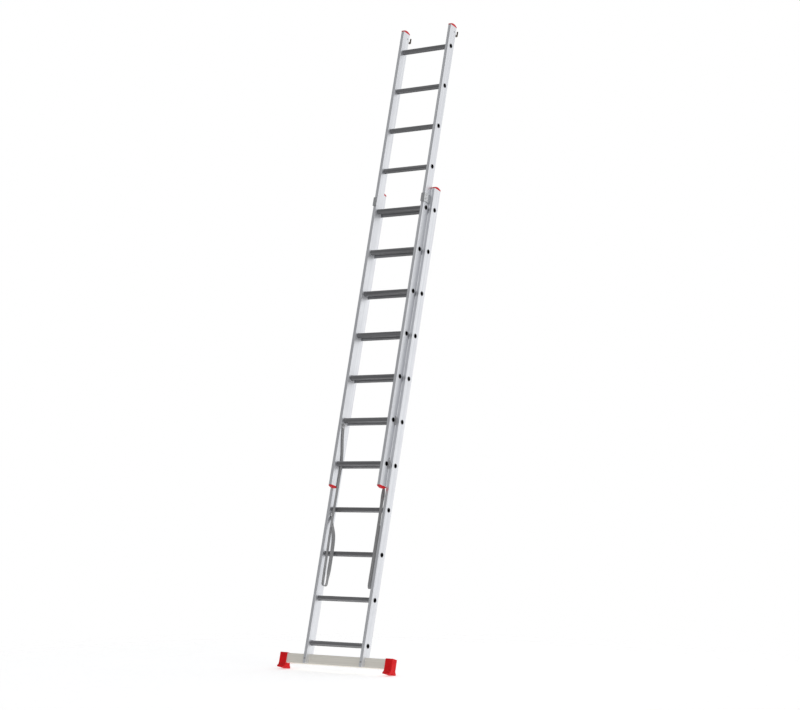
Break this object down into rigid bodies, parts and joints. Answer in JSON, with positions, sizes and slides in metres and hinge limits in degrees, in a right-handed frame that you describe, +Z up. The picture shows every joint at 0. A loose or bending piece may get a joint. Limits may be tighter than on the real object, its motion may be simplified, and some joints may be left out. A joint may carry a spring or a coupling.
{
  "type": "extension ladder",
  "caption": "Two-section push-up aluminium ladder: hollow rungs, sliding fly, rung hooks, guide brackets, webbing straps and a wide stabiliser bar with flared rubber feet.",
  "frame": {"origin": "on the floor plane under the feet's soles, midway between the stiles, in the base section's centre plane", "axes": "+Z up along the stiles, +X to the climber's right, +Y away from the climber, towards the wall"},
  "size_m": [0.863, 0.141, 4.236],
  "materials": {
    "stile_aluminium": "extruded, satin, faint length-wise lines",
    "rung_aluminium": "dark ridged extrusion",
    "bar_aluminium": "warm grey coated extrusion",
    "cap_plastic": "satin moulded red",
    "foot_rubber": "moulded red rubber",
    "bracket_steel": "zinc plated",
    "hook_steel": "dark plated",
    "rivet_steel": "zinc plated",
    "pad_nylon": "black nylon",
    "shoe_plastic": "grey nylon",
    "strap_webbing": "grey woven webbing"
  },
  "bodies": {
    "base": {"base_stile_left": "stile_aluminium", "base_top_cap_left": "cap_plastic", "guide_bracket_left": "bracket_steel", "guide_pad_left": "pad_nylon", "stabiliser_foot_left": "foot_rubber", "strap_left": "strap_webbing", "base_stile_right": "stile_aluminium", "base_top_cap_right": "cap_plastic", "guide_bracket_right": "bracket_steel", "guide_pad_right": "pad_nylon", "stabiliser_foot_right": "foot_rubber", "strap_right": "strap_webbing", "base_rung_01": "rung_aluminium", "base_rung_02": "rung_aluminium", "base_rung_03": "rung_aluminium", "base_rung_04": "rung_aluminium", "base_rung_05": "rung_aluminium", "base_rung_06": "rung_aluminium", "base_rung_07": "rung_aluminium", "base_rung_08": "rung_aluminium", "base_rung_09": "rung_aluminium", "base_rung_10": "rung_aluminium", "base_rung_11": "rung_aluminium", "bracket_rivets": "rivet_steel", "bar_bolts": "rivet_steel", "bar_nuts": "rivet_steel", "base_strap_anchors": "rivet_steel", "stabiliser_bar": "bar_aluminium"},
    "fly": {"fly_stile_left": "stile_aluminium", "fly_top_cap_left": "cap_plastic", "fly_bottom_cap_left": "cap_plastic", "top_hook_left": "hook_steel", "lower_guide_shoe_left": "shoe_plastic", "upper_guide_shoe_left": "shoe_plastic", "fly_stile_right": "stile_aluminium", "fly_top_cap_right": "cap_plastic", "fly_bottom_cap_right": "cap_plastic", "top_hook_right": "hook_steel", "lower_guide_shoe_right": "shoe_plastic", "upper_guide_shoe_right": "shoe_plastic", "fly_rung_01": "rung_aluminium", "fly_rung_02": "rung_aluminium", "fly_rung_03": "rung_aluminium", "fly_rung_04": "rung_aluminium", "fly_rung_05": "rung_aluminium", "fly_rung_06": "rung_aluminium", "fly_rung_07": "rung_aluminium", "fly_rung_08": "rung_aluminium", "fly_rung_09": "rung_aluminium", "fly_rung_10": "rung_aluminium", "fly_rung_11": "rung_aluminium", "top_hook_rivets": "rivet_steel", "fly_strap_anchors": "rivet_steel", "rung_hook_pins": "rivet_steel"},
    "rung_hook_left": {"rung_hook_left": "hook_steel"},
    "rung_hook_right": {"rung_hook_right": "hook_steel"}
  },
  "joints": [
    {"name": "fly_slide", "type": "slide", "parent": "base", "child": "fly", "axis": [0, 0, 1], "range_m": [-1.12, 0.84], "deforming": ["strap_left", "strap_right"]},
    {"name": "rung_hook_left_swing", "type": "hinge", "parent": "fly", "child": "rung_hook_left", "pos_m": [-0.188, -0.038, 1.318], "axis": [1, 0, 0], "range_deg": [-152, 0]},
    {"name": "rung_hook_right_swing", "type": "hinge", "parent": "fly", "child": "rung_hook_right", "pos_m": [0.188, -0.038, 1.318], "axis": [1, 0, 0], "range_deg": [-152, 0]}
  ]
}
